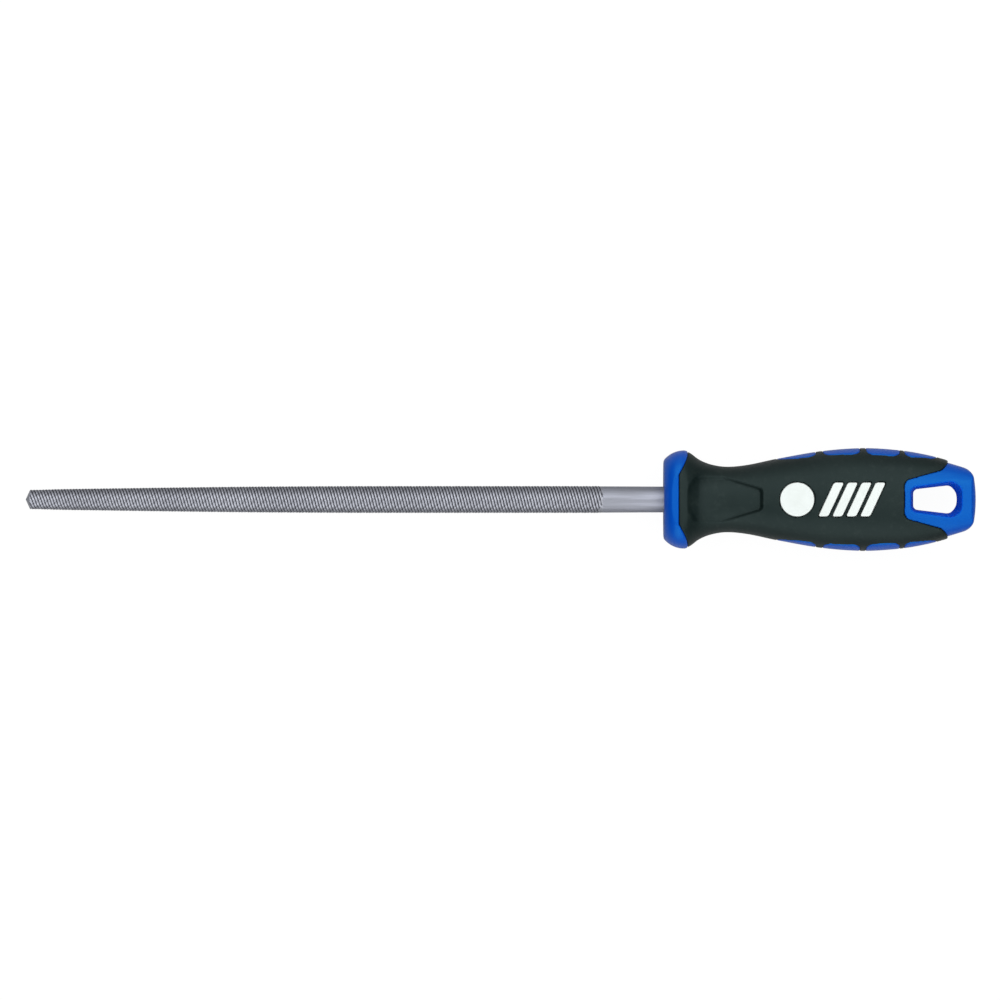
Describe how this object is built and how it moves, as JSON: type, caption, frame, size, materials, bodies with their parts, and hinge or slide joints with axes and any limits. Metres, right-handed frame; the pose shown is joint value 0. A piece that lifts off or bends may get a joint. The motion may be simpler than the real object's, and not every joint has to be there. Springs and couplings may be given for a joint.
{
  "type": "round hand file",
  "caption": "Round, slightly tapered hand file with double-cut teeth and a hard plastic handle in a soft grip, with thumb recesses and a hanging hole in its tail.",
  "frame": {"origin": "on the blade's axis, in the plane of the collar's front face", "axes": "-X runs along the blade to its tip, +X along the handle to its butt, +Y is across the handle's wide side and +Z is out of the handle's badge face, along the hanging hole"},
  "size_m": [0.372, 0.0404, 0.0317],
  "materials": {
    "steel": "hardened steel, satin grey with cut teeth",
    "core_plastic": "blue moulded polypropylene, semi-gloss",
    "grip_rubber": "near-black soft elastomer, satin with a fine eroded texture",
    "badge_plastic": "white moulded plastic, smooth"
  },
  "bodies": {
    "root": {"file_blade": "steel", "handle_core": "core_plastic", "grip_sleeve": "grip_rubber", "badge_inlay": "badge_plastic"}
  },
  "joints": []
}
